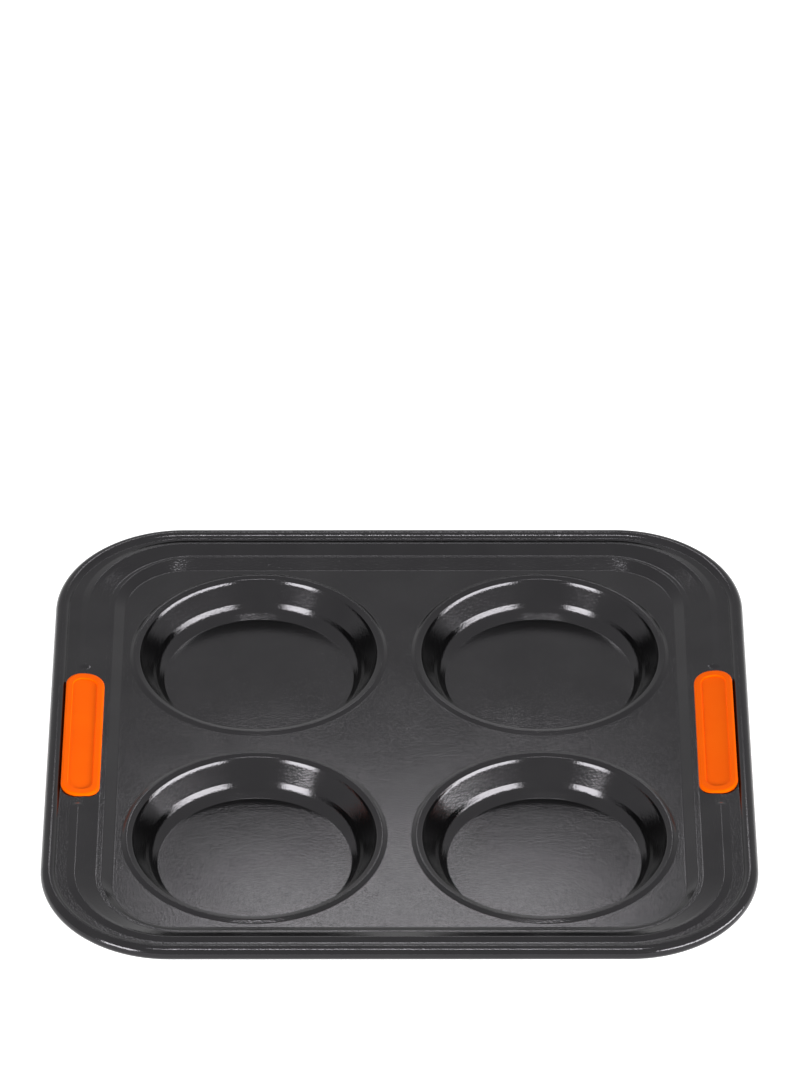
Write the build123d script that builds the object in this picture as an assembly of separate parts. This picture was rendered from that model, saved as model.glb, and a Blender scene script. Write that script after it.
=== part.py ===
from build123d import *
import math
import os

# Four-cup Yorkshire pudding tray: one steel pressing whose edge is rolled round a rim wire,
# with a silicone grip through a slot in each side flange.
# Millimetres. X runs across the two grips, Y front to back, Z up from the table.
# An inset is a distance inwards from the outer edge of the tray.

# The tray as a whole
overall_width = 310.0
overall_depth = 293.0
outer_corner_radius = 56.7
sheet = 1.0
overrun = 5.0

# Heights of the top of the sheet above the table
deck_height = 15.3
ledge_height = 18.6
land_height = 20.5
bead_height = 21.2
curl_centre_height = 19.0

# Rolled edge and the wire inside it
curl_radius = 3.4
wire_clearance = 0.05
curl_root_fillet = 0.3
seam_start_angle = 184.0
seam_end_angle = 206.0

# Stepped rim, from the outside in: insets on the two sides and on the two ends, and corner radii
land_end_side_inset = 11.6
land_end_end_inset = 7.8
land_end_radius = 47.0
bead_side_inset = 14.8
bead_end_inset = 10.7
bead_radius = 44.0
bead_foot_side_inset = 17.3
bead_foot_radius = 41.5
ledge_outer_side_inset = 23.9
ledge_outer_end_inset = 16.4
ledge_outer_radius = 38.0
ledge_inner_side_inset = 26.3
ledge_inner_end_inset = 17.7
ledge_inner_radius = 36.0
deck_side_inset = 31.1
deck_end_inset = 23.1
deck_radius = 28.0

# Radii inside the folds of the rim: on the underside of a crest, on the top of a hollow
land_fold_radius = 2.0
bead_fold_radius = 0.3
ledge_outer_fold_radius = 2.0
ledge_inner_fold_radius = 0.2
deck_fold_radius = 1.5

# Plain stretch of the side flanges, where the bead stops for the grips
flat_start_inset = 17.3
flat_half_length = 45.0
bead_end_run = 2.5

# Cups, each with a flat floor, a wall in two stages that meet at a bend, and a raised lip.
# Both stages are steepest at their top. The bend and what lies below it are measured up from the floor,
# and what lies above it down from the deck.
cup_pitch = 126.2
floor_radius = 42.4
lower_stage_radius = 45.7
lower_stage_rise = 2.75
bend_radius = 47.4
bend_rise = 5.8
upper_stage_radius = 52.5
upper_stage_drop = 1.08
mouth_radius = 53.3
mouth_rise = 0.4
lip_radius = 55.9
lip_rise = 1.1
lip_foot_radius = 57.8
cup_border = 1.7
floor_fold_radius = 0.6
lower_stage_fold_radius = 8.0
bend_fold_radius = 0.2
upper_stage_fold_radius = 10.0
mouth_fold_radius = 0.2
lip_fold_radius = 0.5
lip_foot_fold_radius = 1.0

# Grips: a pad above and below the flange, joined by a waist through the slot
grip_inset = 6.75
grip_width = 17.0
grip_length = 84.4
grip_corner_radius = 8.0
grip_outer_rise = 1.9
grip_inner_rise = 2.1
grip_edge_radius = 1.2
panel_width = 11.1
panel_length = 76.4
panel_corner_radius = 5.0
panel_depth = 0.6
slot_width = 12.6
slot_length = 79.8
slot_corner_radius = 5.8
slot_clearance = 0.1
flange_clearance = 0.05
lower_pad_width = 15.0
lower_pad_length = 82.0
lower_pad_corner_radius = 7.0
lower_pad_thickness = 1.7
lower_pad_edge_radius = 0.8
grip_shift_left = 0.0
grip_shift_right = 1.8

# Worked out from the sizes above
half_width = overall_width / 2
half_depth = overall_depth / 2
wire_radius = curl_radius - sheet - wire_clearance
cup_cut_radius = lip_foot_radius + cup_border
flange_fall = (land_height - ledge_height) / (ledge_outer_side_inset - flat_start_inset)
bead_foot_height = land_height - (bead_foot_side_inset - flat_start_inset) * flange_fall
bead_foot_fall_share = (bead_height - bead_foot_height) / (bead_height - ledge_height)
bead_foot_end_inset = bead_end_inset + bead_foot_fall_share * (ledge_outer_end_inset - bead_end_inset)
step_angle = math.atan2(ledge_height - deck_height, deck_side_inset - ledge_inner_side_inset)
grip_centre_inset = grip_inset + grip_width / 2


def outline(side_inset, end_inset, radius, height):
    """A rounded rectangle at a height, by its insets from the outer edge."""
    width = overall_width - 2 * side_inset
    depth = overall_depth - 2 * end_inset
    return Pos(0, 0, height) * RectangleRounded(width, depth, radius)


def step(upper, lower):
    """The solid between two outlines, with a straight slope from one to the other."""
    return loft([upper, lower], ruled=True)


def level_faces(solid):
    """The level faces of a solid, from the lowest up."""
    return solid.faces().filter_by(Plane.XY).sort_by(Axis.Z)


def rim_bowl(skin):
    """The hollow inside the bead: its inner slope, the flange, the ledge and the step to the deck."""
    spread = skin * math.tan(step_angle / 2)
    crest = outline(bead_side_inset, bead_end_inset, bead_radius, bead_height - skin)
    foot = outline(bead_foot_side_inset, bead_foot_end_inset, bead_foot_radius, bead_foot_height - skin)
    outer = outline(ledge_outer_side_inset, ledge_outer_end_inset, ledge_outer_radius, ledge_height - skin)
    inner = outline(ledge_inner_side_inset - spread, ledge_inner_end_inset - spread,
                    ledge_inner_radius + spread, ledge_height - skin)
    deck = outline(deck_side_inset - spread, deck_end_inset - spread,
                   deck_radius + spread, deck_height - skin)
    bowl = step(crest, foot) + step(foot, outer) + step(inner, deck)
    bowl = fillet(level_faces(bowl)[1].outer_wire().edges(), ledge_outer_fold_radius + skin)
    bowl = fillet(level_faces(bowl)[1].inner_wires()[0].edges(), ledge_inner_fold_radius + sheet - skin)
    return fillet(level_faces(bowl)[0].edges(), deck_fold_radius + skin)


def flat_stretch(skin):
    """What is cleared off the bead beside a grip, with a slope up to the bead at each end."""
    above = bead_height + overrun
    run_in = bead_foot_side_inset + bead_end_run
    run_in_height = land_height - (run_in - flat_start_inset) * flange_fall
    side_view = Polyline(
        (half_width - bead_side_inset + bead_end_run + sheet, above),
        (half_width - bead_side_inset + bead_end_run + sheet, land_height - skin),
        (half_width - flat_start_inset, land_height - skin),
        (half_width - run_in, run_in_height - skin),
        (half_width - run_in, above),
        close=True,
    )
    end_slope = bead_end_run / (bead_height - bead_foot_height)
    low = bead_foot_height - overrun
    low_half = flat_half_length - overrun * end_slope
    high_half = flat_half_length + (above - bead_foot_height) * end_slope
    front_view = Polyline(
        (-low_half, low - skin),
        (low_half, low - skin),
        (high_half, above - skin),
        (-high_half, above - skin),
        close=True,
    )
    across = extrude(Plane.XZ * make_face(side_view), half_depth, both=True)
    along = extrude(Plane.YZ * make_face(front_view), overall_width, both=True)
    return across & along


def rim_form(skin, margin):
    """What lies under the top of the rim and deck, or one skin lower and wider by a margin."""
    plate_inset = curl_radius + curl_radius - sheet + wire_clearance - margin
    plate_radius = outer_corner_radius - plate_inset
    base = -overrun - margin
    plate = extrude(outline(plate_inset, plate_inset, plate_radius, base), land_height - skin - base)
    land_end = outline(land_end_side_inset, land_end_end_inset, land_end_radius, land_height - skin)
    crest = outline(bead_side_inset, bead_end_inset, bead_radius, bead_height - skin)
    form = plate + step(land_end, crest) - rim_bowl(skin)
    form = fillet(level_faces(form)[-1].inner_wires()[0].edges(), land_fold_radius + skin)
    form = fillet(form.edges().group_by(Axis.Z)[-1], bead_fold_radius + sheet - skin)
    for turn in (0, 180):
        form -= Rot(0, 0, turn) * flat_stretch(skin)
    return form


def cup_shell():
    """One cup with its lip, as a strip of sheet turned about the cup's axis."""
    line = FilletPolyline(
        (0, sheet),
        (floor_radius, sheet),
        (lower_stage_radius, sheet + lower_stage_rise),
        (bend_radius, sheet + bend_rise),
        (upper_stage_radius, deck_height - upper_stage_drop),
        (mouth_radius, deck_height + mouth_rise),
        (lip_radius, deck_height + lip_rise),
        (lip_foot_radius, deck_height),
        (cup_cut_radius, deck_height),
        radius=[floor_fold_radius, lower_stage_fold_radius, bend_fold_radius + sheet,
                upper_stage_fold_radius, mouth_fold_radius + sheet, lip_fold_radius + sheet,
                lip_foot_fold_radius],
    )
    strip = make_face(offset(line, sheet, side=Side.RIGHT))
    return revolve(Plane.XZ * strip, Axis.Z)


def rim_sweep(section):
    """A section, drawn about the curl's centre with X outwards, carried round the tray's edge."""
    path = outline(curl_radius, curl_radius, outer_corner_radius - curl_radius,
                   curl_centre_height).wire()
    start = Plane(path @ 0, x_dir=(-1, 0, 0), z_dir=(0, 1, 0))
    return sweep(start * section, path=path)


def curl_section():
    """The rolled edge: a ring open at its seam, with a short root along the flange."""
    reach = curl_radius + overrun
    seam = make_face(Polyline(
        (0, 0),
        (reach * math.cos(math.radians(seam_start_angle)),
         reach * math.sin(math.radians(seam_start_angle))),
        (reach * math.cos(math.radians(seam_end_angle)),
         reach * math.sin(math.radians(seam_end_angle))),
        close=True,
    ))
    root_start = -(curl_radius - sheet + wire_clearance)
    root_end = -(curl_radius + sheet)
    root_top = land_height - curl_centre_height
    root = make_face(Polyline(
        (root_start, root_top),
        (root_end, root_top),
        (root_end, root_top - sheet),
        (root_start, root_top - sheet),
        close=True,
    ))
    section = Circle(curl_radius) - Circle(curl_radius - sheet) - seam + root
    root_corner = section.vertices().group_by(Axis.Y)[-1].sort_by(Axis.X)[-1]
    return fillet(root_corner, curl_root_fillet)


def at_grip(side, shift):
    """The place of a grip's middle on the right side (1) or the left side (-1)."""
    return Pos(side * (half_width - grip_centre_inset), shift, 0)


def tray_pressing():
    """The single sheet: rim, deck, four cups and rolled edge, with the two slots."""
    pressing = rim_form(0, 0) - rim_form(sheet, overrun)
    shell = cup_shell()
    hole = Pos(0, 0, -overrun) * extrude(Circle(cup_cut_radius), bead_height + 2 * overrun)
    for side in (-1, 1):
        for end in (-1, 1):
            cup_place = Pos(side * cup_pitch / 2, end * cup_pitch / 2, 0)
            pressing = pressing - cup_place * hole + cup_place * shell
    pressing += rim_sweep(curl_section())
    slot = extrude(RectangleRounded(slot_width, slot_length, slot_corner_radius), bead_height + overrun)
    for side, shift in ((-1, grip_shift_left), (1, grip_shift_right)):
        pressing -= at_grip(side, shift) * slot
    return pressing


def flange_at(inset):
    """The height of the flange beside a grip, at an inset beyond the start of its slope."""
    return land_height - (inset - flat_start_inset) * flange_fall


def side_slice(points):
    """A slice over the whole length of a grip, from its outline in inset and height."""
    corners = [(half_width - inset, height) for inset, height in points]
    face = make_face(Polyline(*corners, close=True))
    return extrude(Plane.XZ * face, grip_length, both=True)


def grip():
    """The right grip, in its place on a tray whose slot is centred."""
    outer = grip_inset
    inner = grip_inset + grip_width
    top_outer = land_height + grip_outer_rise
    top_inner = flange_at(inner) + grip_inner_rise
    low_outer = land_height - sheet - lower_pad_thickness
    low_inner = flange_at(inner) - sheet - lower_pad_thickness
    block = side_slice([(outer, low_outer), (outer, top_outer), (inner, top_inner), (inner, low_inner)])
    place = at_grip(1, 0)
    tall = bead_height + overrun
    body = block & place * extrude(RectangleRounded(grip_width, grip_length, grip_corner_radius), tall)
    body = fillet(body.faces().sort_by(Axis.Z)[-1].edges(), grip_edge_radius)

    upper = flange_clearance
    lower = -sheet - flange_clearance
    far_inner = ledge_outer_side_inset
    band = side_slice([
        (0, land_height + upper),
        (flat_start_inset, land_height + upper),
        (far_inner, ledge_height + upper),
        (far_inner, ledge_height + lower),
        (flat_start_inset, land_height + lower),
        (0, land_height + lower),
    ])
    below = side_slice([
        (0, land_height + lower),
        (flat_start_inset, land_height + lower),
        (far_inner, ledge_height + lower),
        (far_inner, deck_height - overrun),
        (0, deck_height - overrun),
    ])
    waist = extrude(RectangleRounded(slot_width - 2 * slot_clearance, slot_length - 2 * slot_clearance,
                                     slot_corner_radius - slot_clearance), tall)
    lower_pad = extrude(RectangleRounded(lower_pad_width, lower_pad_length,
                                         lower_pad_corner_radius), tall)
    body -= band - place * waist
    body -= below - place * lower_pad
    body = fillet(body.faces().sort_by(Axis.Z)[0].edges(), lower_pad_edge_radius)

    recess = side_slice([
        (outer, top_outer - panel_depth),
        (inner, top_inner - panel_depth),
        (inner, top_inner + overrun),
        (outer, top_outer + overrun),
    ])
    panel = extrude(RectangleRounded(panel_width, panel_length, panel_corner_radius), tall + overrun)
    return body - (recess & place * panel)


def main():
    nodes = {
        "tray_pressing": tray_pressing(),
        "rim_wire": rim_sweep(Circle(wire_radius)),
        "right_grip": Pos(0, grip_shift_right, 0) * grip(),
        "left_grip": Pos(0, grip_shift_left, 0) * Rot(0, 0, 180) * grip(),
    }
    os.makedirs("parts", exist_ok=True)
    for name, solid in nodes.items():
        solid.label = name
        export_step(solid, f"parts/{name}.step")
        print(name, round(solid.volume, 1), "mm3", solid.is_valid, len(solid.solids()))


main()
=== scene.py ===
"""Looks for the four-cup yorkshire pudding tray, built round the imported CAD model."""
import math

import bpy
from mathutils import Euler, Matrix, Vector
from mathutils.geometry import delaunay_2d_cdt


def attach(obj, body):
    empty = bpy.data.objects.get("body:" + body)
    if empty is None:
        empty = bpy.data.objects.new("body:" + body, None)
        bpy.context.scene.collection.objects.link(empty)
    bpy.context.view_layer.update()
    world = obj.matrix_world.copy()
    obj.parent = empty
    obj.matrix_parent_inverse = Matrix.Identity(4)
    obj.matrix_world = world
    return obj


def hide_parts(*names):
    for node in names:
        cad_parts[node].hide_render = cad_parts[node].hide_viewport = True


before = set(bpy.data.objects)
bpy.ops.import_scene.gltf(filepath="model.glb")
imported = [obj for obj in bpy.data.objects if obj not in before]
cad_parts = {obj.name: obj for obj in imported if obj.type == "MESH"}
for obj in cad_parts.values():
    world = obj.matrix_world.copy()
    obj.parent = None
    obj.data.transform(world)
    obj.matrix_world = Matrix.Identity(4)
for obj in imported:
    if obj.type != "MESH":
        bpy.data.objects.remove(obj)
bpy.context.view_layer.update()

MM = 0.001

# Sizes of the tray in millimetres, as in its CAD model.
# An inset is a distance inwards from the outer edge. A level is a height of the top of the sheet.
OVERALL_WIDTH = 310.0
OVERALL_DEPTH = 293.0
OUTER_CORNER_RADIUS = 56.7
SHEET = 1.0
DECK_LEVEL = 15.3
LEDGE_LEVEL = 18.6
LAND_LEVEL = 20.5
BEAD_LEVEL = 21.2
CURL_CENTRE_LEVEL = 19.0
CURL_RADIUS = 3.4
CURL_ROOT_FOLD = 0.5
CURL_END_ANGLE = math.radians(-154)
LAND_END_INSET = 11.6
BEAD_CREST_INSET = 14.8
BEAD_FOOT_INSET = 17.3
LEDGE_OUTER_INSET = 23.9
FLANGE_START_INSET = 17.3
FLANGE_FALL = (LAND_LEVEL - LEDGE_LEVEL) / (LEDGE_OUTER_INSET - FLANGE_START_INSET)
BEAD_FOOT_LEVEL = LAND_LEVEL - (BEAD_FOOT_INSET - FLANGE_START_INSET) * FLANGE_FALL
BEAD_END_Y = 48.75
BEAD_END_LENGTH = 3.1
# How far the folds at the bead's feet may reach past them
BEAD_MARGIN = 1.5

# Folds of the rim from the curl inwards:
# inset on the sides, inset on the ends, corner radius, level, fold radius
RIM_FOLDS = (
    (LAND_END_INSET, 7.8, 47.0, LAND_LEVEL, 2.0),
    (BEAD_CREST_INSET, 10.7, 44.0, BEAD_LEVEL, 1.3),
    (BEAD_FOOT_INSET, 12.23, 41.5, BEAD_FOOT_LEVEL, 1.5),
    (LEDGE_OUTER_INSET, 16.4, 38.0, LEDGE_LEVEL, 2.0),
    (26.3, 17.7, 36.0, LEDGE_LEVEL, 1.2),
    (31.1, 23.1, 28.0, DECK_LEVEL, 1.5),
)
DECK_MARGIN = 0.9

CUP_PITCH = 126.2
# Folds of a cup from the floor outwards: radius, level, fold radius
CUP_FOLDS = (
    (42.4, SHEET, 0.6),
    (45.7, SHEET + 2.75, 8.0),
    (47.4, SHEET + 5.8, 1.2),
    (52.5, DECK_LEVEL - 1.08, 10.0),
    (53.3, DECK_LEVEL + 0.4, 1.2),
    (55.9, DECK_LEVEL + 1.1, 1.5),
    (57.8, DECK_LEVEL, 1.0),
)
CUP_EDGE_RADIUS = 58.6
CUP_HUB_RADIUS = 12.0
CUP_CROWN = 0.3
CUP_CROWN_RADIUS = 42.1

# Grips: a pad above and one below the flange, joined by a waist through the slot
GRIP_INSET = 6.75
GRIP_HALF_WIDTH = 8.5
GRIP_HALF_LENGTH = 42.2
GRIP_CORNER = 8.0
GRIP_OUTER_RISE = 1.9
GRIP_INNER_RISE = 2.1
GRIP_EDGE = 1.2
PANEL_HALF_WIDTH = 5.55
PANEL_HALF_LENGTH = 38.2
PANEL_CORNER = 5.0
PANEL_DEPTH = 0.6
PANEL_EDGE = 0.22
PANEL_SLANT = 0.12
PANEL_MARGIN = 1.0
WAIST_HALF_WIDTH = 6.2
WAIST_HALF_LENGTH = 39.8
WAIST_CORNER = 5.7
LOWER_HALF_WIDTH = 7.5
LOWER_HALF_LENGTH = 41.0
LOWER_CORNER = 7.0
LOWER_THICKNESS = 1.7
LOWER_EDGE = 0.8
LOWER_MARGIN = 1.5
SEAT_GAP = 0.05
# The side of each grip, and how far back it stands
GRIPS = {"left_grip": (-1, 0.0), "right_grip": (1, 1.8)}

# How finely the meshes are divided
FOLD_STEPS = 6
RUN_STEPS = 3
CURL_STEPS = 40
CUP_COLUMNS = 144
CORNER_COLUMNS = 26
GRIP_CORNER_COLUMNS = 12
# A turn below this angle, in radians, is left straight
STRAIGHT_ANGLE = 0.001
# Points closer than this, in millimetres, are one where the deck is filled
FLAT_GAP = 1e-7

# Columns along a side stand at fixed places up to this y, and share the rest of the straight run
FIXED_Y = 60.0
RIM_STOPS = (0.0, 10.0, 20.0, 30.0, 38.0, 42.0, 44.0)
BEAD_END_FIRST_STOP = 44.6
BEAD_END_STOP_GAP = 0.35
BEAD_END_STOPS = 13
RIM_LAST_STOPS = (50.5, 53.0, 56.0, FIXED_Y)
RIM_SIDE_SHARES = (0.25, 0.5, 0.75)
RIM_END_SHARES = tuple(0.98 - 0.14 * k for k in range(14))
GRIP_STOPS = (-30.0, -20.0, -10.0, 0.0, 10.0, 20.0, 30.0)
GRIP_END_SHARES = (0.5, 0.0, -0.5)

# Colours are linear. A tone wanders from the dark to the light one over this part of its noise
TONE_RANGE = (0.3, 0.7)
COATING_DARK = (0.031, 0.030, 0.032)
COATING_LIGHT = (0.036, 0.035, 0.037)
COATING_METALLIC = 0.96
GRAIN_SCALE = 1300.0
GRAIN_HEIGHT = 0.00005
SILICONE_DARK = (0.98, 0.117, 0.0)
SILICONE_LIGHT = (1.0, 0.129, 0.0)
SILICONE_ROUGHNESS = 0.48
SILICONE_SPECULAR = 0.1
SILICONE_TINT = (1.0, 0.5, 0.05)
WIRE_COLOUR = (0.55, 0.55, 0.56)

# The studio: strengths, and sizes in metres
ROOM_LEVEL = 0.3
FLOOR_GLOW = 0.9
FLOOR_TONE = 0.8
FLOOR_HALF = 4.0
LAMP_DISTANCE = 2.5

# The photograph's camera: a long lens from in front, about 40 degrees above the tray
IMAGE_HEIGHT = 1067
FOCAL_PIXELS = 7171.5
SENSOR = 36.0
CAMERA_PLACE = (-0.00139, -2.43925, 2.03975)
CAMERA_TURN = (51.986, 0.0, -0.039)
CLIP_START = 0.1
CLIP_END = 50.0


class Shell:
    """A mesh being put together from rings of points, with its own normal at every corner."""

    def __init__(self):
        self.points, self.faces, self.normals = [], [], []

    def ring(self, points):
        """Adds points and gives their numbers."""
        first = len(self.points)
        self.points.extend(points)
        return list(range(first, first + len(points)))

    def face(self, corners, normals):
        self.faces.append(corners)
        self.normals.extend(normals)

    def band(self, low, high, low_normals, high_normals):
        """Four-sided faces from one ring to the next, which lies to the left of it."""
        for k in range(len(low)):
            n = (k + 1) % len(low)
            self.face((low[k], low[n], high[n], high[k]),
                      (low_normals[k], low_normals[n], high_normals[n], high_normals[k]))

    def hard_band(self, low, high):
        """A band whose faces meet their neighbours at a sharp edge."""
        for k in range(len(low)):
            n = (k + 1) % len(low)
            a, b, c = (self.points[i] for i in (low[k], low[n], high[k]))
            normal = (b - a).cross(c - a).normalized()
            self.face((low[k], low[n], high[n], high[k]), (normal,) * 4)

    def piece(self, name):
        """The finished object, in metres."""
        mesh = bpy.data.meshes.new(name)
        mesh.from_pydata([p * MM for p in self.points], [], self.faces, shade_flat=False)
        mesh.normals_split_custom_set(self.normals)
        made = bpy.data.objects.new(name, mesh)
        bpy.context.scene.collection.objects.link(made)
        return made


def corner_arc(before, here, after, radius):
    """Points round one corner of a path of (x, z, extra)."""
    before, here, after = Vector(before), Vector(here), Vector(after)
    back, ahead = (before - here).xy, (after - here).xy
    turn = math.pi - back.angle(ahead)
    reach = radius * math.tan(turn / 2)
    start = here.lerp(before, reach / back.length)
    end = here.lerp(after, reach / ahead.length)
    points = [start.lerp(end, k / FOLD_STEPS) for k in range(FOLD_STEPS + 1)]
    if turn > STRAIGHT_ANGLE:
        middle = (back.normalized() + ahead.normalized()).normalized()
        centre = here.xy + middle * radius / math.cos(turn / 2)
        first = math.atan2(start.y - centre.y, start.x - centre.x)
        last = math.atan2(end.y - centre.y, end.x - centre.x)
        sweep = (last - first + math.pi) % math.tau - math.pi
        for k, point in enumerate(points):
            angle = first + sweep * k / FOLD_STEPS
            point.xy = centre + Vector((math.cos(angle), math.sin(angle))) * radius
    return points


def rounded(path, radii):
    """A path of (x, z, extra) with its corners rounded, and whether it runs straight on from each point."""
    points, straight = [Vector(path[0])], [True]
    for before, here, after, radius in zip(path, path[1:], path[2:], radii):
        arc = corner_arc(before, here, after, radius)
        run_start = points[-1]
        for k in range(1, RUN_STEPS + 1):
            points.append(run_start.lerp(arc[0], k / (RUN_STEPS + 1)))
            straight.append(True)
        points += arc
        straight += [False] * FOLD_STEPS + [True]
    points.append(Vector(path[-1]))
    straight.append(True)
    return points, straight


def along(items, straight, k):
    """The direction of a list of points at one of them: exact where it meets a straight run."""
    if k + 1 < len(items) and straight[k]:
        return items[k + 1] - items[k]
    if k and straight[k - 1]:
        return items[k] - items[k - 1]
    return items[min(k + 1, len(items) - 1)] - items[max(k - 1, 0)]


def loop_columns(side_stops, side_shares, end_shares, corner_steps):
    """The columns round a rounded rectangle, anticlockwise from the front of the right side.

    A column is (kind, sign in x, sign in y, value).
    """
    right = [("share", 1, -1, s) for s in reversed(side_shares)]
    right += [("stop", 1, 1, y) for y in side_stops]
    right += [("share", 1, 1, s) for s in side_shares]
    back = [("end", 1, 1, s) for s in end_shares]
    quarter = [math.pi / 2 * k / corner_steps for k in range(corner_steps + 1)]
    half = right + [("corner", 1, 1, a) for a in quarter] + back
    half += [("corner", -1, 1, a) for a in reversed(quarter)]
    turned = [(kind, -sx, sy if kind == "stop" else -sy, -value if kind == "stop" else value)
              for kind, sx, sy, value in half]
    return half + turned


def column_spot(column, half_x, half_y, radius):
    """Where a column meets a rounded rectangle, the way along it there, and its share of an end."""
    kind, sx, sy, value = column
    if kind == "stop":
        return Vector((sx * half_x, value, 0)), Vector((0, sx, 0)), 0.0
    if kind == "share":
        y = FIXED_Y + value * (half_y - radius - FIXED_Y)
        return Vector((sx * half_x, sy * y, 0)), Vector((0, sx, 0)), 0.0
    if kind == "end":
        return Vector((sy * value * (half_x - radius), sy * half_y, 0)), Vector((-sy, 0, 0)), 1.0
    spot = Vector((sx * (half_x - radius + radius * math.cos(value)),
                   sy * (half_y - radius + radius * math.sin(value)), 0))
    turn = sx * sy
    way = Vector((-sx * turn * math.sin(value), sy * turn * math.cos(value), 0))
    return spot, way, value / (math.pi / 2)


def loft(rings, straight, columns, lift):
    """Points and normals of a surface through rings of (half x, half y, radius, side z, end z)."""
    spots = [[column_spot(c, *ring[:3]) for c in columns] for ring in rings]
    count = len(columns)
    for j, (ring, row) in enumerate(zip(rings, spots)):
        for spot, _, share in row:
            level = ring[3] + (ring[4] - ring[3]) * share
            spot.z = lift(j, spot, level)
    normals = [[None] * count for _ in rings]
    for c in range(count):
        line = [row[c][0] for row in spots]
        for j in range(len(rings)):
            before, after = spots[j][c - 1][0], spots[j][(c + 1) % count][0]
            way = spots[j][c][1].copy()
            way.z = (after.z - before.z) / (after - before).xy.length
            normals[j][c] = way.cross(along(line, straight, j)).normalized()
    return [[item[0] for item in row] for row in spots], normals


def rim_section(side):
    """The rim's section from the end of the curl to the deck: (inset, level, corner radius)."""
    sine = (LAND_LEVEL - CURL_CENTRE_LEVEL + CURL_ROOT_FOLD) / (CURL_RADIUS + CURL_ROOT_FOLD)
    root_angle = math.pi - math.asin(sine)
    root_inset = CURL_RADIUS - (CURL_RADIUS + CURL_ROOT_FOLD) * math.cos(root_angle)
    curl = []
    for k in range(CURL_STEPS + 1):
        angle = CURL_END_ANGLE + (root_angle - CURL_END_ANGLE) * k / CURL_STEPS
        inset = CURL_RADIUS - CURL_RADIUS * math.cos(angle)
        curl.append(Vector((inset, CURL_CENTRE_LEVEL + CURL_RADIUS * math.sin(angle),
                            OUTER_CORNER_RADIUS - inset)))
    root_turn = math.pi / 2 - (math.pi - root_angle)
    for k in range(1, FOLD_STEPS):
        angle = math.pi + (math.pi - root_angle) + root_turn * k / FOLD_STEPS
        inset = root_inset + CURL_ROOT_FOLD * math.cos(angle)
        curl.append(Vector((inset, LAND_LEVEL + CURL_ROOT_FOLD + CURL_ROOT_FOLD * math.sin(angle),
                            OUTER_CORNER_RADIUS - inset)))
    path = [(root_inset, LAND_LEVEL, OUTER_CORNER_RADIUS - root_inset)]
    path += [(fold[0 if side else 1], fold[3], fold[2]) for fold in RIM_FOLDS]
    last = RIM_FOLDS[-1]
    path.append((last[0 if side else 1] + DECK_MARGIN, DECK_LEVEL, last[2] - DECK_MARGIN))
    points, straight = rounded(path, [fold[4] for fold in RIM_FOLDS])
    return curl + points, [False] * len(curl) + straight


def up_normals(points, straight):
    """The section's normals on the upper side, in its own plane."""
    out = []
    for k in range(len(points)):
        way = along(points, straight, k).xy.normalized()
        out.append(Vector((-way.y, way.x)))
    return out


def flange_level(inset):
    """The flange beside a grip: level, then falling inwards."""
    return LAND_LEVEL - max(0.0, inset - FLANGE_START_INSET) * FLANGE_FALL


def bead_excess(section):
    """How far each point of a side's section stands above the plain flange, where the bead is."""
    low = section_index(section, LAND_END_INSET - BEAD_MARGIN)
    high = section_index(section, BEAD_FOOT_INSET + BEAD_MARGIN)
    return {k: max(0.0, section[k].y - flange_level(section[k].x)) for k in range(low, high)}


def section_index(section, inset):
    """The first point of the section's inner part that lies further in than an inset."""
    return next(k for k, p in enumerate(section) if p.x > inset and k > CURL_STEPS)


def bead_lift(section):
    """How the bead's rounded ends lower the surface beside the grips, as a lift for loft()."""
    excess = bead_excess(section)

    def excess_at(offset):
        inset = BEAD_CREST_INSET + offset
        keys = sorted(excess)
        for a, b in zip(keys, keys[1:]):
            if section[a].x <= inset <= section[b].x:
                share = (inset - section[a].x) / (section[b].x - section[a].x)
                return excess[a] + (excess[b] - excess[a]) * share
        return 0.0

    crest_excess = max(excess.values())
    outer_reach = BEAD_CREST_INSET - LAND_END_INSET
    inner_reach = BEAD_FOOT_INSET - BEAD_CREST_INSET

    def lift(j, spot, level):
        distance = (BEAD_END_Y - abs(spot.y)) / BEAD_END_LENGTH
        if j not in excess or distance <= 0:
            return level
        offset = section[j].x - BEAD_CREST_INSET
        across = offset / (outer_reach if offset < 0 else inner_reach)
        rho = math.hypot(across, distance)
        inner_share = (1 + across / rho) / 2
        outer_height = excess_at(-rho * outer_reach)
        inner_height = excess_at(rho * inner_reach)
        side_height = outer_height + (inner_height - outer_height) * inner_share
        fall = 1 - min(rho, 1.0)
        end_height = crest_excess * fall * fall * (3 - 2 * fall)
        end_share = (distance / rho) ** 2
        return level - excess[j] + side_height + (end_height - side_height) * end_share

    return lift


def cup_centres():
    """Where the four cups stand."""
    return [Vector((sx * CUP_PITCH / 2, sy * CUP_PITCH / 2, 0)) for sx in (-1, 1) for sy in (-1, 1)]


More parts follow.
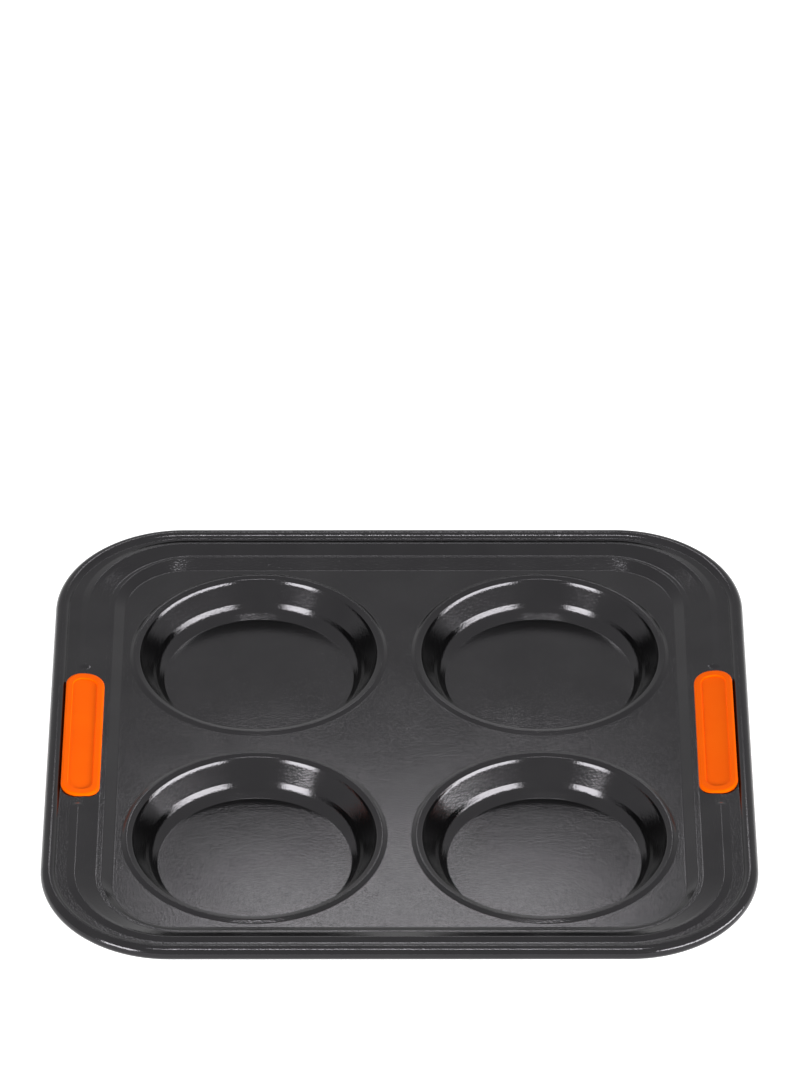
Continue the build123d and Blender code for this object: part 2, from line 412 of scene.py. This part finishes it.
def cup_rings(shell, centre, top):
    """Adds one cup's rings to the shell, on the top or the underside. Gives its outer ring's numbers."""
    path = [(CUP_HUB_RADIUS, SHEET, 0.0)] + [(r, level, 0.0) for r, level, _ in CUP_FOLDS]
    path.append((CUP_EDGE_RADIUS, DECK_LEVEL, 0.0))
    section, straight = rounded(path, [fold[2] for fold in CUP_FOLDS])
    ups = up_normals(section, straight)
    for point, up in zip(section, ups):
        share = min(point.x / CUP_CROWN_RADIUS, 1.0)
        if share < 1.0:
            point.y += CUP_CROWN * (1 - share * share)
            up.xy = Vector((2 * CUP_CROWN * share / CUP_CROWN_RADIUS, 1.0)).normalized()
    sign = 1 if top else -1
    rings, normals = [], []
    for point, up in zip(section, ups):
        radius, level = (point.xy if top else point.xy - up * SHEET)
        ring, row = [], []
        for c in range(CUP_COLUMNS):
            angle = math.tau * c / CUP_COLUMNS
            out = Vector((math.cos(angle), math.sin(angle), 0))
            ring.append(centre + out * radius + Vector((0, 0, level)))
            row.append((out * up.x + Vector((0, 0, up.y))) * sign)
        rings.append(shell.ring(ring))
        normals.append(row)
    for low, high, low_normals, high_normals in zip(rings, rings[1:], normals, normals[1:]):
        if top:
            shell.band(high, low, high_normals, low_normals)
        else:
            shell.band(low, high, low_normals, high_normals)
    hub = shell.ring([centre + Vector((0, 0, CUP_CROWN + (SHEET if top else 0)))])[0]
    up = Vector((0, 0, sign))
    for c in range(CUP_COLUMNS):
        n = (c + 1) % CUP_COLUMNS
        first, second = (c, n) if top else (n, c)
        shell.face((hub, rings[0][first], rings[0][second]), (up, normals[0][first], normals[0][second]))
    return rings[-1]


def deck_faces(shell, rim, cups, top):
    """Fills the deck between the rim's last ring and the cups' outer rings."""
    loops = [rim] + cups
    numbers = [i for loop in loops for i in loop]
    flat = [shell.points[i].xy for i in numbers]
    edges, first = [], 0
    for loop in loops:
        edges += [(first + k, first + (k + 1) % len(loop)) for k in range(len(loop))]
        first += len(loop)
    spots, _, triangles, sources, _, _ = delaunay_2d_cdt(flat, edges, [], 0, FLAT_GAP)
    centres = [centre.xy for centre in cup_centres()]
    up = Vector((0, 0, 1 if top else -1))
    for triangle in triangles:
        a, b, c = (spots[i] for i in triangle)
        if any(((a + b + c) / 3 - centre).length < CUP_EDGE_RADIUS for centre in centres):
            continue
        corners = [numbers[sources[i][0]] for i in triangle]
        if ((b - a).cross(c - a) > 0) != top:
            corners.reverse()
        shell.face(tuple(corners), (up,) * 3)


def rim_columns():
    """Columns round the rim, close together where the bead ends."""
    close = [BEAD_END_FIRST_STOP + BEAD_END_STOP_GAP * k for k in range(BEAD_END_STOPS)]
    stops = [*RIM_STOPS, *close, *RIM_LAST_STOPS]
    side_stops = [-y for y in reversed(stops[1:])] + stops
    return loop_columns(side_stops, RIM_SIDE_SHARES, RIM_END_SHARES, CORNER_COLUMNS)


def make_pressing():
    """The steel pressing: rim with its rolled edge, deck and four cups, as one closed sheet."""
    side, straight = rim_section(True)
    end, _ = rim_section(False)
    side_ups, end_ups = up_normals(side, straight), up_normals(end, straight)
    columns = rim_columns()
    lift = bead_lift(side)
    shell = Shell()
    curl_ends = {}
    for top in (True, False):
        rings = []
        for s, e, su, eu in zip(side, end, side_ups, end_ups):
            drop = 0.0 if top else SHEET
            radius = (s.z + e.z) / 2 + (su.x + eu.x) / 2 * drop
            rings.append((OVERALL_WIDTH / 2 - s.x + su.x * drop, OVERALL_DEPTH / 2 - e.x + eu.x * drop,
                          radius, s.y - su.y * drop, e.y - eu.y * drop))
        points, normals = loft(rings, straight, columns, lift)
        if not top:
            normals = [[-n for n in row] for row in normals]
        numbers = [shell.ring(row) for row in points]
        for low, high, low_normals, high_normals in zip(numbers, numbers[1:], normals, normals[1:]):
            if top:
                shell.band(low, high, low_normals, high_normals)
            else:
                shell.band(high, low, high_normals, low_normals)
        curl_ends[top] = numbers[0]
        cups = [cup_rings(shell, centre, top) for centre in cup_centres()]
        deck_faces(shell, numbers[-1], cups, top)
    shell.hard_band(curl_ends[False], curl_ends[True])
    return shell.piece("pressing_sheet")


def across_grip(x, outer, inner):
    """A level that slants over the grip's width, at a distance x from the tray's middle."""
    inset = OVERALL_WIDTH / 2 - x
    return outer + (inner - outer) * (inset - GRIP_INSET) / (2 * GRIP_HALF_WIDTH)


def grip_top(x):
    """The height of the grip's sloping top."""
    inner = flange_level(GRIP_INSET + 2 * GRIP_HALF_WIDTH) + GRIP_INNER_RISE
    return across_grip(x, LAND_LEVEL + GRIP_OUTER_RISE, inner)


def grip_floor(x):
    """The height of the plane under the grip's lower pad."""
    inner = flange_level(GRIP_INSET + 2 * GRIP_HALF_WIDTH) - SHEET - LOWER_THICKNESS
    return across_grip(x, LAND_LEVEL - SHEET - LOWER_THICKNESS, inner)


def flange_top(x):
    """The height of the flange that the grip sits on."""
    return flange_level(OVERALL_WIDTH / 2 - x)


def make_grip(name):
    """A silicone grip: a pad with a plain sunken panel, a waist through the slot and a lower pad."""
    side, shift = GRIPS[name]
    centre = OVERALL_WIDTH / 2 - GRIP_INSET - GRIP_HALF_WIDTH
    columns = loop_columns(GRIP_STOPS, (), GRIP_END_SHARES, GRIP_CORNER_COLUMNS)
    panel = (GRIP_HALF_WIDTH - PANEL_HALF_WIDTH, GRIP_HALF_LENGTH - PANEL_HALF_LENGTH)
    waist = (GRIP_HALF_WIDTH - WAIST_HALF_WIDTH, GRIP_HALF_LENGTH - WAIST_HALF_LENGTH)
    lower = (GRIP_HALF_WIDTH - LOWER_HALF_WIDTH, GRIP_HALF_LENGTH - LOWER_HALF_LENGTH)
    under = -SHEET - SEAT_GAP
    shell = Shell()

    def section(plane, path, radii=(), first=None, last=None):
        """A smooth stretch of skin along a path of (side and end inset, height over a plane, corner)."""
        side_points, straight = rounded([(inset[0], h, r) for inset, h, r in path], radii)
        end_points, _ = rounded([(inset[1], h, r) for inset, h, r in path], radii)
        rings = [(GRIP_HALF_WIDTH - s.x, GRIP_HALF_LENGTH - e.x, (s.z + e.z) / 2, s.y, e.y)
                 for s, e in zip(side_points, end_points)]
        points, normals = loft(rings, straight, columns,
                               lambda j, spot, level: plane(centre + spot.x) + level)
        numbers = [first or shell.ring(points[0])]
        numbers += [shell.ring(row) for row in points[1:-1]]
        numbers.append(last or shell.ring(points[-1]))
        for low, high, low_normals, high_normals in zip(numbers, numbers[1:], normals, normals[1:]):
            shell.band(low, high, low_normals, high_normals)
        return numbers[0], numbers[-1], normals

    def inwards(inset, by):
        return inset[0] + by, inset[1] + by

    outside = (0.0, 0.0)
    waist_top, pad_foot, _ = section(flange_top, [
        (waist, SEAT_GAP, WAIST_CORNER), (outside, SEAT_GAP, GRIP_CORNER)])
    lower_rim, waist_foot, _ = section(flange_top, [
        (lower, under, LOWER_CORNER), (waist, under, WAIST_CORNER)])
    section(flange_top, [(waist, under, WAIST_CORNER), (waist, SEAT_GAP, WAIST_CORNER)],
            first=waist_foot, last=waist_top)
    bottom, _, normals = section(grip_floor, [
        (inwards(lower, LOWER_MARGIN), 0.0, LOWER_CORNER - LOWER_MARGIN),
        (lower, 0.0, LOWER_CORNER),
        (lower, LOWER_THICKNESS - SEAT_GAP, LOWER_CORNER),
    ], [LOWER_EDGE], last=lower_rim)
    shell.face(tuple(reversed(bottom)), tuple(reversed(normals[0])))
    _, floor, normals = section(grip_top, [
        (outside, SEAT_GAP - GRIP_OUTER_RISE, GRIP_CORNER),
        (outside, 0.0, GRIP_CORNER),
        (panel, 0.0, PANEL_CORNER),
        (inwards(panel, PANEL_SLANT), -PANEL_DEPTH, PANEL_CORNER - PANEL_SLANT),
        (inwards(panel, PANEL_MARGIN), -PANEL_DEPTH, PANEL_CORNER - PANEL_MARGIN),
    ], [GRIP_EDGE, PANEL_EDGE, PANEL_EDGE], first=pad_foot)
    shell.face(tuple(floor), tuple(normals[-1]))
    for point in shell.points:
        point.x = side * (point.x + centre)
        point.y = side * point.y + shift
    shell.normals = [Vector((side * n.x, side * n.y, n.z)) for n in shell.normals]
    return shell.piece(name + "_silicone")


def new_material(name):
    """A material with its node tree, its main shader and a small maker of linked nodes."""
    material = bpy.data.materials.new(name)
    material.use_nodes = True
    nodes, links = material.node_tree.nodes, material.node_tree.links
    shader = nodes["Principled BSDF"]

    def add(kind, inputs=None, **settings):
        node = nodes.new(kind)
        for key, value in settings.items():
            setattr(node, key, value)
        for key, value in (inputs or {}).items():
            if isinstance(value, bpy.types.NodeSocket):
                links.new(value, node.inputs[key])
            else:
                node.inputs[key].default_value = value
        return node

    return material, shader, add, links


def wandering_tone(add, noise, dark, light):
    """A colour that wanders between two tones with a noise."""
    tone = add("ShaderNodeValToRGB", {"Fac": noise.outputs["Fac"]})
    for element, position, colour in zip(tone.color_ramp.elements, TONE_RANGE, (dark, light)):
        element.position = position
        element.color = (*colour, 1)
    return tone.outputs["Color"]


def sees_background(nodes, links):
    """One for the rays that see the white background: camera, glossy and transmission rays."""
    rays = nodes.new("ShaderNodeLightPath")
    seen = rays.outputs["Is Camera Ray"]
    for kind in ("Is Glossy Ray", "Is Transmission Ray"):
        either = nodes.new("ShaderNodeMath")
        either.operation = "MAXIMUM"
        links.new(seen, either.inputs[0])
        links.new(rays.outputs[kind], either.inputs[1])
        seen = either.outputs[0]
    return seen


def coated_steel():
    """Satin dark grey metallic non-stick coating with a fine orange-peel grain."""
    material, shader, add, links = new_material("coated_steel")
    place = add("ShaderNodeTexCoord").outputs["Object"]
    cloud = add("ShaderNodeTexNoise", {"Vector": place, "Scale": 45.0, "Detail": 4.0})
    grain = add("ShaderNodeTexNoise", {"Vector": place, "Scale": GRAIN_SCALE, "Detail": 2.0})
    tone = wandering_tone(add, cloud, COATING_DARK, COATING_LIGHT)
    links.new(tone, shader.inputs["Base Color"])
    shader.inputs["Metallic"].default_value = COATING_METALLIC
    rough = add("ShaderNodeMapRange", {"Value": cloud.outputs["Fac"], "To Min": 0.10, "To Max": 0.125})
    links.new(rough.outputs["Result"], shader.inputs["Roughness"])
    bump = add("ShaderNodeBump", {"Height": grain.outputs["Fac"], "Strength": 1.0, "Distance": GRAIN_HEIGHT})
    links.new(bump.outputs["Normal"], shader.inputs["Normal"])
    return material


def silicone():
    """Satin orange silicone with a faint moulded texture."""
    material, shader, add, links = new_material("orange_silicone")
    place = add("ShaderNodeTexCoord").outputs["Object"]
    cloud = add("ShaderNodeTexNoise", {"Vector": place, "Scale": 60.0, "Detail": 3.0})
    grain = add("ShaderNodeTexNoise", {"Vector": place, "Scale": 1800.0, "Detail": 2.0})
    tone = wandering_tone(add, cloud, SILICONE_DARK, SILICONE_LIGHT)
    links.new(tone, shader.inputs["Base Color"])
    shader.inputs["Roughness"].default_value = SILICONE_ROUGHNESS
    shader.inputs["Specular IOR Level"].default_value = SILICONE_SPECULAR
    shader.inputs["Specular Tint"].default_value = (*SILICONE_TINT, 1)
    bump = add("ShaderNodeBump", {"Height": grain.outputs["Fac"], "Strength": 0.10, "Distance": 0.00003})
    links.new(bump.outputs["Normal"], shader.inputs["Normal"])
    return material


def steel_wire():
    """Plain drawn wire."""
    material, shader, add, links = new_material("steel_wire")
    place = add("ShaderNodeTexCoord").outputs["Object"]
    cloud = add("ShaderNodeTexNoise", {"Vector": place, "Scale": 300.0, "Detail": 3.0})
    rough = add("ShaderNodeMapRange", {"Value": cloud.outputs["Fac"], "To Min": 0.28, "To Max": 0.42})
    links.new(rough.outputs["Result"], shader.inputs["Roughness"])
    shader.inputs["Base Color"].default_value = (*WIRE_COLOUR, 1)
    shader.inputs["Metallic"].default_value = 1.0
    return material


def dress(piece, node, material):
    """Puts a piece in a CAD node's place, with its material."""
    piece.data.materials.append(material)
    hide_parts(node)
    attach(piece, "root")


def ceiling_lamp(name, place, size, radiance):
    """A soft rectangular lamp that hangs level and faces down, in metres."""
    data = bpy.data.lights.new(name, "AREA")
    data.shape = "RECTANGLE"
    data.size, data.size_y = size
    data.energy = radiance * math.pi * size[0] * size[1]
    lamp = bpy.data.objects.new(name, data)
    lamp.location = place
    bpy.context.scene.collection.objects.link(lamp)
    return lamp


def facing_lamp(name, azimuth, zenith, roll, size, radiance):
    """A soft rectangular lamp that faces the tray.

    The azimuth is in degrees clockwise from the back, and the zenith is in degrees down from overhead.
    """
    away, down = math.radians(azimuth), math.radians(zenith)
    toward = Vector((math.sin(down) * math.sin(away), math.sin(down) * math.cos(away), math.cos(down)))
    lamp = ceiling_lamp(name, toward * LAMP_DISTANCE, size, radiance)
    aim = toward.to_track_quat("Z", "Y")
    lamp.rotation_euler = (aim @ Euler((0, 0, math.radians(roll))).to_quaternion()).to_euler()


def make_world():
    """A studio room: white to the camera and in reflections, a softer grey as light."""
    world = bpy.data.worlds.new("studio")
    bpy.context.scene.world = world
    world.use_nodes = True
    nodes, links = world.node_tree.nodes, world.node_tree.links
    background = nodes["Background"]
    level = nodes.new("ShaderNodeMix")
    level.data_type = "FLOAT"
    links.new(sees_background(nodes, links), level.inputs["Factor"])
    level.inputs["A"].default_value = ROOM_LEVEL
    level.inputs["B"].default_value = 1.0
    links.new(level.outputs["Result"], background.inputs["Strength"])
    background.inputs["Color"].default_value = (1, 1, 1, 1)


def make_floor():
    """A pale floor that looks white to the camera and in reflections, and keeps the tray's shadow."""
    mesh = bpy.data.meshes.new("floor")
    corners = [(x * FLOOR_HALF, y * FLOOR_HALF, 0) for x, y in ((-1, -1), (1, -1), (1, 1), (-1, 1))]
    mesh.from_pydata(corners, [], [(0, 1, 2, 3)])
    floor = bpy.data.objects.new("floor", mesh)
    bpy.context.scene.collection.objects.link(floor)
    material, shader, add, links = new_material("white_floor")
    shader.inputs["Roughness"].default_value = 1.0
    shader.inputs["Specular IOR Level"].default_value = 0.0
    seen = sees_background(material.node_tree.nodes, links)
    shader.inputs["Emission Color"].default_value = (1, 1, 1, 1)
    glow = add("ShaderNodeMath", {0: seen, 1: FLOOR_GLOW}, operation="MULTIPLY")
    links.new(glow.outputs[0], shader.inputs["Emission Strength"])
    shader.inputs["Base Color"].default_value = (FLOOR_TONE, FLOOR_TONE, FLOOR_TONE, 1)
    floor.data.materials.append(material)


def make_camera():
    """The camera that the photograph was taken with, as fitted to it."""
    data = bpy.data.cameras.new("camera")
    data.sensor_width = SENSOR
    data.lens = FOCAL_PIXELS * SENSOR / IMAGE_HEIGHT
    data.clip_start, data.clip_end = CLIP_START, CLIP_END
    camera = bpy.data.objects.new("camera", data)
    camera.location = CAMERA_PLACE
    camera.rotation_euler = Euler([math.radians(a) for a in CAMERA_TURN])
    bpy.context.scene.collection.objects.link(camera)
    bpy.context.scene.camera = camera


make_camera()
coat = coated_steel()
orange = silicone()
dress(make_pressing(), "tray_pressing", coat)
for grip_name in GRIPS:
    dress(make_grip(grip_name), grip_name, orange)
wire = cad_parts["rim_wire"]
wire.data.materials.clear()
wire.data.materials.append(steel_wire())

make_world()
make_floor()
ceiling_lamp("back_panel", (0.0, 0.77, 0.8), size=(0.28, 0.09), radiance=11.0)
ceiling_lamp("top_bar", (0.0, -0.865, 2.5), size=(1.0, 0.14), radiance=34.0)
facing_lamp("right_box", azimuth=117.0, zenith=79.5, roll=-11.6, size=(3.77, 0.54), radiance=19.0)
facing_lamp("left_box", azimuth=221.0, zenith=76.0, roll=0.0, size=(1.1, 0.72), radiance=20.0)

bpy.context.scene.view_settings.view_transform = "Standard"
